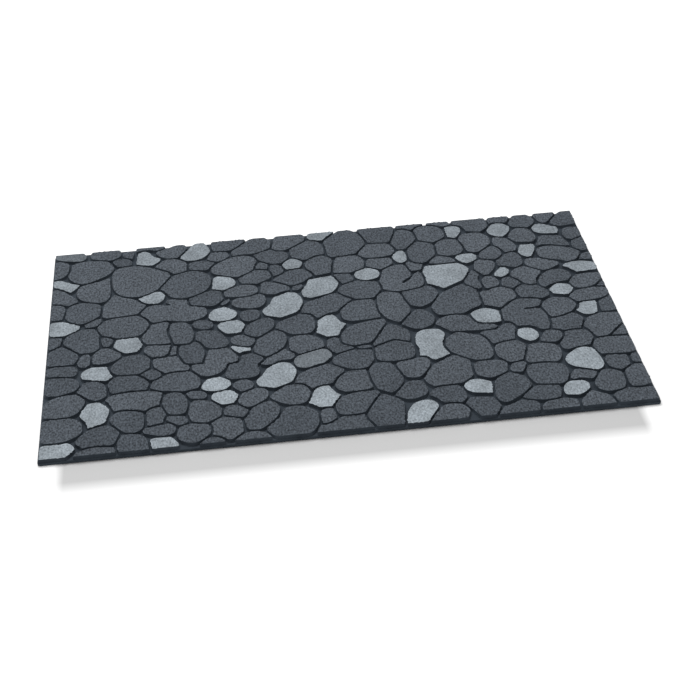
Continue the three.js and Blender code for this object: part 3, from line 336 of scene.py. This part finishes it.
def flat_mat(stones):
    """Base sheet with the feet of the stones as flat faces, ready for its relief."""
    sheet_top = cad_low.z + MAT_HEIGHT - STONE_RELIEF
    rim = rounded_rectangle(SHEET_CHAMFER)
    flat_points = list(rim)
    rings = []
    for stone in stones:
        rings.append(range(len(flat_points), len(flat_points) + len(stone["foot"])))
        flat_points.extend(stone["foot"])
    constraints = [list(range(len(rim)))] + [list(ring) for ring in rings]
    only_inside, same_point = 1, 1e-9
    found = delaunay_2d_cdt(flat_points, [], constraints, only_inside, same_point)
    found_points, _, found_faces, origin, _, inside_of = found
    points = [(p.x, p.y, sheet_top) for p in flat_points]
    number = []
    for point, sources in zip(found_points, origin):
        number.append(sources[0] if sources else len(points))
        if not sources:
            points.append((point.x, point.y, sheet_top))
    faces = []
    finishes = []
    for face, holders in zip(found_faces, inside_of):
        if list(holders) == [0]:
            faces.append([number[v] for v in face])
            finishes.append(BARE_RUBBER)
    for ring, stone in zip(rings, stones):
        faces.append(list(ring))
        finishes.append(stone["finish"])

    levels = [
        (sheet_top - SHEET_CHAMFER, 0),
        (cad_low.z + SHEET_CHAMFER, 0),
        (cad_low.z, SHEET_CHAMFER),
    ]
    above = list(range(len(rim)))
    for level, inset in levels:
        below = range(len(points), len(points) + len(rim))
        points.extend((p.x, p.y, level) for p in rounded_rectangle(inset))
        for i in range(len(rim)):
            j = (i + 1) % len(rim)
            faces.append([above[j], above[i], below[i], below[j]])
            finishes.append(BARE_RUBBER)
        above = list(below)
    faces.append(above[::-1])
    finishes.append(BARE_RUBBER)

    mesh = bpy.data.meshes.new("doormat")
    mesh.from_pydata(points, [], faces)
    outward = mesh.attributes.new("outward", "FLOAT_VECTOR", "POINT")
    for ring, stone in zip(rings, stones):
        for v, step in zip(ring, stone["outward"]):
            outward.data[v].vector = (step.x, step.y, 0)
    finish = mesh.attributes.new("finish", "INT", "FACE")
    finish.data.foreach_set("value", finishes)
    tone = mesh.attributes.new("tone", "FLOAT", "FACE")
    stone_faces = [i for i, kind in enumerate(finishes) if kind != BARE_RUBBER]
    for i, stone in zip(stone_faces, stones):
        tone.data[i].value = stone["tone"]
    mesh.update()
    return mesh


# Relief of the stones


def relief_tree(rubber, dark_nap, pale_nap):
    """Raises every stone's foot into a drafted wall, a rounded shoulder and a flat top."""
    tree = bpy.data.node_groups.new("stone relief", "GeometryNodeTree")
    tree.interface.new_socket("Geometry", in_out="INPUT", socket_type="NodeSocketGeometry")
    sizes = [
        ("Relief", STONE_RELIEF), ("Wall draft", WALL_DRAFT),
        ("Shoulder radius", SHOULDER_RADIUS), ("Top band", TOP_BAND),
    ]
    for name, value in sizes:
        socket = tree.interface.new_socket(name, in_out="INPUT", socket_type="NodeSocketFloat")
        socket.default_value = value
    tree.interface.new_socket("Geometry", in_out="OUTPUT", socket_type="NodeSocketGeometry")
    nodes, links = tree.nodes, tree.links
    start = nodes.new("NodeGroupInput")
    end = nodes.new("NodeGroupOutput")

    def math_node(operation, first, second):
        node = nodes.new("ShaderNodeMath")
        node.operation = operation
        for socket, value in zip(node.inputs, (first, second)):
            if isinstance(value, (int, float)):
                socket.default_value = value
            else:
                links.new(value, socket)
        return node.outputs[0]

    def named(name, kind):
        node = nodes.new("GeometryNodeInputNamedAttribute")
        node.data_type = kind
        node.inputs["Name"].default_value = name
        return node.outputs["Attribute"]

    def finish_is(value):
        node = nodes.new("FunctionNodeCompare")
        node.data_type = "INT"
        node.operation = "EQUAL"
        links.new(named("finish", "INT"), node.inputs[2])
        node.inputs[3].default_value = value
        return node.outputs[0]

    def set_finish(geometry, selection, value):
        node = nodes.new("GeometryNodeStoreNamedAttribute")
        node.data_type = "INT"
        node.domain = "FACE"
        links.new(geometry, node.inputs["Geometry"])
        links.new(selection, node.inputs["Selection"])
        node.inputs["Name"].default_value = "finish"
        node.inputs["Value"].default_value = value
        return node.outputs["Geometry"]

    def raise_faces(geometry, selection, inset, rise):
        """Extrudes the selected faces, draws their new ring in and lifts it, if it rises."""
        extrude = nodes.new("GeometryNodeExtrudeMesh")
        extrude.mode = "FACES"
        links.new(geometry, extrude.inputs["Mesh"])
        links.new(selection, extrude.inputs["Selection"])
        extrude.inputs["Offset Scale"].default_value = 0.0
        extrude.inputs["Individual"].default_value = False
        drawn_in = nodes.new("ShaderNodeVectorMath")
        drawn_in.operation = "SCALE"
        links.new(named("outward", "FLOAT_VECTOR"), drawn_in.inputs[0])
        links.new(math_node("MULTIPLY", inset, -1), drawn_in.inputs["Scale"])
        lift = nodes.new("ShaderNodeCombineXYZ")
        if rise is not None:
            links.new(rise, lift.inputs["Z"])
        move = nodes.new("ShaderNodeVectorMath")
        move.operation = "ADD"
        links.new(drawn_in.outputs[0], move.inputs[0])
        links.new(lift.outputs[0], move.inputs[1])
        place = nodes.new("GeometryNodeSetPosition")
        links.new(extrude.outputs["Mesh"], place.inputs["Geometry"])
        links.new(extrude.outputs["Top"], place.inputs["Selection"])
        links.new(move.outputs[0], place.inputs["Offset"])
        return place.outputs["Geometry"], extrude.outputs["Top"], extrude.outputs["Side"]

    def shade(geometry, selection, smooth):
        node = nodes.new("GeometryNodeSetShadeSmooth")
        links.new(geometry, node.inputs["Geometry"])
        if selection is not None:
            links.new(selection, node.inputs["Selection"])
        node.inputs["Shade Smooth"].default_value = smooth
        return node.outputs["Geometry"]

    is_stone = math_node("GREATER_THAN", named("finish", "INT"), BARE_RUBBER + 0.5)
    radius = start.outputs["Shoulder radius"]
    wall_rise = math_node("SUBTRACT", start.outputs["Relief"], radius)
    geometry = shade(start.outputs["Geometry"], None, False)
    geometry, top, side = raise_faces(geometry, is_stone, start.outputs["Wall draft"], wall_rise)
    geometry = shade(set_finish(geometry, side, BARE_RUBBER), side, True)
    for step in range(SHOULDER_STEPS):
        here, there = (math.pi / 2 * (step + k) / SHOULDER_STEPS for k in (0, 1))
        inset = math_node("MULTIPLY", radius, math.cos(here) - math.cos(there))
        rise = math_node("MULTIPLY", radius, math.sin(there) - math.sin(here))
        geometry, top, side = raise_faces(geometry, top, inset, rise)
        if step < SHOULDER_STEPS - 1:
            geometry = set_finish(geometry, side, BARE_RUBBER)
        geometry = shade(geometry, side, True)
    geometry, top, side = raise_faces(geometry, top, start.outputs["Top band"], None)
    geometry = shade(geometry, side, True)

    realize = nodes.new("GeometryNodeRealizeInstances")
    links.new(geometry, realize.inputs[0])
    geometry = realize.outputs[0]
    for value, material in ((BARE_RUBBER, rubber), (DARK_NAP, dark_nap), (PALE_NAP, pale_nap)):
        node = nodes.new("GeometryNodeSetMaterial")
        node.inputs["Material"].default_value = material
        links.new(geometry, node.inputs["Geometry"])
        links.new(finish_is(value), node.inputs["Selection"])
        geometry = node.outputs["Geometry"]
    links.new(geometry, end.inputs[0])
    return tree


# Materials


def srgb(red, green, blue):
    """A colour given as 0 to 255 on screen, in the linear values that a shader takes."""
    channels = []
    for value in (red, green, blue):
        share = value / 255
        linear = share / 12.92 if share <= 0.04045 else ((share + 0.055) / 1.055) ** 2.4
        channels.append(linear)
    return (*channels, 1.0)


def new_group(name, inputs, outputs):
    """An empty shader group with named inputs, as (name, kind, value), and named outputs."""
    group = bpy.data.node_groups.new(name, "ShaderNodeTree")
    for label, kind, value in inputs:
        socket = group.interface.new_socket(label, in_out="INPUT", socket_type=kind)
        socket.default_value = value
    for label, kind in outputs:
        group.interface.new_socket(label, in_out="OUTPUT", socket_type=kind)
    return group, group.nodes.new("NodeGroupInput"), group.nodes.new("NodeGroupOutput")


class Wiring:
    """Short ways to add nodes to a shader tree."""

    def __init__(self, tree):
        self.tree = tree

    def put(self, value, socket):
        """Links a socket, or sets a plain value."""
        if isinstance(value, bpy.types.NodeSocket):
            self.tree.links.new(value, socket)
        elif value is not None:
            socket.default_value = value

    def math(self, operation, first, second=None):
        node = self.tree.nodes.new("ShaderNodeMath")
        node.operation = operation
        self.put(first, node.inputs[0])
        self.put(second, node.inputs[1])
        return node.outputs[0]

    def map_range(self, value, from_low, from_high, to_low, to_high):
        node = self.tree.nodes.new("ShaderNodeMapRange")
        for number, item in enumerate((value, from_low, from_high, to_low, to_high)):
            self.put(item, node.inputs[number])
        return node.outputs[0]

    def noise(self, vector, scale, detail, roughness):
        node = self.tree.nodes.new("ShaderNodeTexNoise")
        self.put(vector, node.inputs["Vector"])
        self.put(scale, node.inputs["Scale"])
        self.put(detail, node.inputs["Detail"])
        self.put(roughness, node.inputs["Roughness"])
        return node.outputs["Fac"]

    def scaled(self, vector, scale):
        node = self.tree.nodes.new("ShaderNodeVectorMath")
        node.operation = "MULTIPLY"
        self.put(vector, node.inputs[0])
        self.put(scale, node.inputs[1])
        return node.outputs[0]

    def mix(self, share, first, second):
        node = self.tree.nodes.new("ShaderNodeMix")
        node.data_type = "RGBA"
        node.clamp_result = True
        self.put(share, node.inputs[0])
        self.put(first, node.inputs[6])
        self.put(second, node.inputs[7])
        return node.outputs[2]

    def place(self):
        return self.tree.nodes.new("ShaderNodeTexCoord").outputs["Object"]

    def attribute(self, name):
        node = self.tree.nodes.new("ShaderNodeAttribute")
        node.attribute_name = name
        return node.outputs["Fac"]

    def bump(self, height, distance):
        node = self.tree.nodes.new("ShaderNodeBump")
        self.put(height, node.inputs["Height"])
        node.inputs["Distance"].default_value = distance
        return node.outputs["Normal"]

    def group(self, group, **values):
        node = self.tree.nodes.new("ShaderNodeGroup")
        node.node_tree = group
        for name, value in values.items():
            self.put(value, node.inputs[name.replace("_", " ")])
        return node.outputs


def nap_group():
    """Short flock fibres: light and dark tufts, with finer fibre noise over them."""
    group, given, made = new_group(
        "flock nap",
        [
            ("Place", "NodeSocketVector", (0, 0, 0)),
            ("Tuft size", "NodeSocketFloat", 2.0),
            ("Contrast", "NodeSocketFloat", 0.3),
            ("Colour", "NodeSocketColor", (0.1, 0.1, 0.1, 1)),
        ],
        [("Colour", "NodeSocketColor"), ("Height", "NodeSocketFloat")],
    )
    wiring = Wiring(group)
    tuft_stretch = (1.0, 0.62, 1.0)
    fibres_per_tuft = 3.1
    fibre_share = 0.35
    darkest = 0.3
    stretched = wiring.scaled(given.outputs["Place"], tuft_stretch)
    per_metre = wiring.math("DIVIDE", 1 / MM, given.outputs["Tuft size"])
    tufts = wiring.noise(stretched, per_metre, 2.0, 0.6)
    fine = wiring.math("MULTIPLY", per_metre, fibres_per_tuft)
    fibres = wiring.noise(given.outputs["Place"], fine, 2.0, 0.7)
    height = wiring.math(
        "ADD",
        wiring.math("MULTIPLY", tufts, 1 - fibre_share),
        wiring.math("MULTIPLY", fibres, fibre_share),
    )
    spread = wiring.math("MULTIPLY", wiring.math("SUBTRACT", height, 0.5), given.outputs["Contrast"])
    gain = wiring.math("MAXIMUM", wiring.math("ADD", spread, 1.0), darkest)
    grey = group.nodes.new("ShaderNodeCombineColor")
    for channel in range(3):
        wiring.put(gain, grey.inputs[channel])
    wiring.put(wiring.scaled(given.outputs["Colour"], grey.outputs[0]), made.inputs["Colour"])
    wiring.put(height, made.inputs["Height"])
    return group


def patch_group():
    """Broad soft patches, 0 to 1, for the uneven tone of flock and rubber."""
    group, given, made = new_group(
        "soft patches",
        [("Place", "NodeSocketVector", (0, 0, 0)), ("Patch size", "NodeSocketFloat", 40.0)],
        [("Share", "NodeSocketFloat")],
    )
    wiring = Wiring(group)
    per_metre = wiring.math("DIVIDE", 1 / MM, given.outputs["Patch size"])
    patches = wiring.noise(given.outputs["Place"], per_metre, 3.0, 0.55)
    wiring.put(wiring.map_range(patches, NOISE_LOW, NOISE_HIGH, 0.0, 1.0), made.inputs["Share"])
    return group


def new_material(name):
    """A material, short ways to wire its nodes, and its shader."""
    material = bpy.data.materials.new(name)
    material.use_nodes = True
    shader = material.node_tree.nodes["Principled BSDF"]
    return material, Wiring(material.node_tree), shader


def nap_material(name, dark, light, contrast, tuft_size, patch_size, unevenness, depth):
    """Flocked stone top: a tone per stone between two greys, patches and nap over it.

    The sizes of tufts and patches are in millimetres, the depth of the nap is in metres.
    """
    material, wiring, shader = new_material(name)
    place = wiring.place()
    colour = wiring.mix(wiring.attribute("tone"), dark, light)
    patches = wiring.group(PATCHES, Place=place, Patch_size=patch_size)["Share"]
    uneven = wiring.mix(wiring.math("MULTIPLY", patches, unevenness), colour, (0, 0, 0, 1))
    nap = wiring.group(NAP, Place=place, Tuft_size=tuft_size, Contrast=contrast, Colour=uneven)
    wiring.put(nap["Colour"], shader.inputs["Base Color"])
    roughness = wiring.map_range(nap["Height"], NOISE_LOW, NOISE_HIGH, 0.98, 0.86)
    wiring.put(roughness, shader.inputs["Roughness"])
    wiring.put(wiring.bump(nap["Height"], depth), shader.inputs["Normal"])
    shader.inputs["Specular IOR Level"].default_value = 0.1
    shader.inputs["Sheen Weight"].default_value = 0.03
    shader.inputs["Sheen Roughness"].default_value = 0.6
    return material


def rubber_material():
    """Bare moulded rubber of the sheet and the groove walls: darker, with a fine mould grain."""
    material, wiring, shader = new_material("moulded rubber")
    place = wiring.place()
    patches = wiring.group(PATCHES, Place=place, Patch_size=28.0)["Share"]
    colour = wiring.mix(patches, srgb(40, 47, 55), srgb(56, 64, 72))
    grain = wiring.group(NAP, Place=place, Tuft_size=1.1, Contrast=0.5, Colour=colour)
    wiring.put(grain["Colour"], shader.inputs["Base Color"])
    roughness = wiring.map_range(grain["Height"], NOISE_LOW, NOISE_HIGH, 0.88, 0.7)
    wiring.put(roughness, shader.inputs["Roughness"])
    wiring.put(wiring.bump(grain["Height"], 0.12 * MM), shader.inputs["Normal"])
    shader.inputs["Specular IOR Level"].default_value = 0.2
    return material


NAP = nap_group()
PATCHES = patch_group()
RUBBER = rubber_material()
DARK = nap_material(
    "dark stone flock", srgb(72, 78, 85), srgb(83, 89, 96),
    contrast=5.0, tuft_size=2.2, patch_size=60.0, unevenness=0.18, depth=0.25 * MM,
)
PALE = nap_material(
    "pale stone flock", srgb(83, 89, 95), srgb(160, 169, 176),
    contrast=2.8, tuft_size=2.2, patch_size=22.0, unevenness=0.3, depth=0.2 * MM,
)


# The doormat


def read_stones():
    """Stones of the moulding, each with its foot outline, its finish and its own tone, with painted
    shade darkening the pale ones towards the far edge.
    """
    dice = random.Random(TONE_SEED)
    stones = []
    found = top_outlines(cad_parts["doormat"], cad_high.z)
    found.sort(key=lambda outline: (round(min(p.y for p in outline), 4), min(p.x for p in outline)))
    reach = Vector((
        max(abs(p.x) for outline in found for p in outline) - AT_EDGE,
        max(abs(p.y) for outline in found for p in outline) - AT_EDGE,
    ))
    for outline in found:
        if signed_area(outline) < 0:
            outline = outline[::-1]
        smooth = smooth_outline(outline, reach)
        outward = outward_steps(smooth)
        foot = [point + step * WALL_DRAFT for point, step in zip(smooth, outward)]
        shares = inset_shares(foot, outward)
        finish, tone = DARK_NAP, dice.uniform(0, 1)
        if any(holds(outline, from_corner(x, y)) for x, y in PALE_STONES):
            # Painted shade: a pale stone's grey is taken down the further it lies towards the far edge
            far_share = outline[0].y / MAT_WIDTH + 0.5
            finish, tone = PALE_NAP, dice.uniform(*PALE_SHARES) - FAR_PAINTED_SHADE * far_share
        for (x, y), share in HALF_PALE_STONES.items():
            if holds(outline, from_corner(x, y)):
                finish, tone = PALE_NAP, share
        inset_steps = [step * share for step, share in zip(outward, shares)]
        stones.append({"foot": foot, "outward": inset_steps, "finish": finish, "tone": tone})
    return stones


def build_mat():
    """The moulded mat as one plain mesh, with its relief raised and its finishes set."""
    mesh = flat_mat(read_stones())
    mat = bpy.data.objects.new("moulded_mat", mesh)
    bpy.context.scene.collection.objects.link(mat)
    for material in (RUBBER, DARK, PALE):
        mesh.materials.append(material)
    relief = mat.modifiers.new("stone relief", "NODES")
    relief.node_group = relief_tree(RUBBER, DARK, PALE)
    depsgraph = bpy.context.evaluated_depsgraph_get()
    made = bpy.data.meshes.new_from_object(
        mat.evaluated_get(depsgraph), preserve_all_data_layers=True, depsgraph=depsgraph
    )
    mat.modifiers.remove(relief)
    mat.data = made
    made.name = "moulded_mat"
    return mat


# Floor, light and camera


def floor_material():
    """White floor, with the soft grey shadow that lies in front of the mat."""
    material, wiring, shader = new_material("white floor")
    split = material.node_tree.nodes.new("ShaderNodeSeparateXYZ")
    wiring.put(wiring.place(), split.inputs[0])
    half_length = MAT_LENGTH / 2 - SHADOW_INDENT
    front = -MAT_WIDTH / 2 - SHADOW_DEPTH
    off_middle = wiring.math("ABSOLUTE", split.outputs["X"])
    ends = wiring.map_range(off_middle, half_length - SHADOW_BLUR, half_length, 1, 0)
    near = wiring.map_range(split.outputs["Y"], front - SHADOW_BLUR, front + SHADOW_BLUR, 0, 1)
    under = wiring.map_range(split.outputs["Y"], 0, SHADOW_BLUR, 1, 0)
    shadow = wiring.math("MULTIPLY", wiring.math("MULTIPLY", ends, near), under)
    white, grey = (0.95, 0.95, 0.95, 1), (0.57, 0.57, 0.57, 1)
    wiring.put(wiring.mix(shadow, white, grey), shader.inputs["Base Color"])
    glow, none = (0.15, 0.15, 0.15, 1), (0, 0, 0, 1)
    wiring.put(wiring.mix(shadow, glow, none), shader.inputs["Emission Color"])
    shader.inputs["Emission Strength"].default_value = 1.0
    shader.inputs["Roughness"].default_value = 0.9
    return material


def build_floor():
    """A white floor that reaches past the picture on all sides."""
    size = FLOOR_REACH
    level = cad_low.z - FLOOR_GAP
    mesh = bpy.data.meshes.new("floor")
    corners = [(-size, -size), (size, -size), (size, size), (-size, size)]
    mesh.from_pydata([(x, y, level) for x, y in corners], [], [(0, 1, 2, 3)])
    floor = bpy.data.objects.new("floor", mesh)
    bpy.context.scene.collection.objects.link(floor)
    mesh.materials.append(floor_material())
    return floor


def add_light(name, place, target, size, power):
    """A rectangular softbox at a place, turned to a target."""
    data = bpy.data.lights.new(name, "AREA")
    data.shape = "RECTANGLE"
    data.size, data.size_y = size
    data.energy = power
    light = bpy.data.objects.new(name, data)
    bpy.context.scene.collection.objects.link(light)
    light.location = place
    light.rotation_euler = (Vector(target) - Vector(place)).to_track_quat("-Z", "Y").to_euler()


def build_studio():
    """Even white surroundings, one softbox over the mat's far side, plain colours."""
    world = bpy.data.worlds.new("studio")
    bpy.context.scene.world = world
    world.use_nodes = True
    background = world.node_tree.nodes["Background"]
    background.inputs["Color"].default_value = (1, 1, 1, 1)
    background.inputs["Strength"].default_value = 0.55
    add_light("overhead softbox", place=(-0.3, 0.9, 2.2), target=(0, 0, 0), size=(1.8, 1.2), power=42)
    bpy.context.scene.view_settings.view_transform = "Standard"
    bpy.context.scene.view_settings.look = "None"


def build_camera():
    """Pinhole camera placed so that the mat's corners fall where they do in the photograph."""
    focal_pixels, frame_pixels = 1401.0, 700
    pitch, yaw, roll = (math.radians(angle) for angle in (36.57, 5.74, -2.01))
    shift = Vector((-21.1, -31.2, 1851.8)) * MM
    turn_z = Matrix(((math.cos(yaw), -math.sin(yaw), 0), (math.sin(yaw), math.cos(yaw), 0), (0, 0, 1)))
    turn_x = Matrix((
        (1, 0, 0),
        (0, -math.sin(pitch), -math.cos(pitch)),
        (0, math.cos(pitch), -math.sin(pitch)),
    ))
    turn_view = Matrix((
        (math.cos(roll), -math.sin(roll), 0),
        (math.sin(roll), math.cos(roll), 0),
        (0, 0, 1),
    ))
    world_to_view = turn_view @ turn_x @ turn_z
    data = bpy.data.cameras.new("camera")
    data.sensor_width = 36
    data.lens = focal_pixels * data.sensor_width / frame_pixels
    data.clip_start, data.clip_end = 0.05, 50
    camera = bpy.data.objects.new("camera", data)
    bpy.context.scene.collection.objects.link(camera)
    right, down, ahead = world_to_view
    turned = Matrix((right, -down, -ahead)).transposed()
    place = -(world_to_view.transposed() @ shift)
    camera.matrix_world = Matrix.Translation(place) @ turned.to_4x4()
    bpy.context.scene.camera = camera


build_camera()
build_studio()
build_floor()
moulded_mat = build_mat()
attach(moulded_mat, "root")
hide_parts("doormat")

bpy.context.view_layer.update()
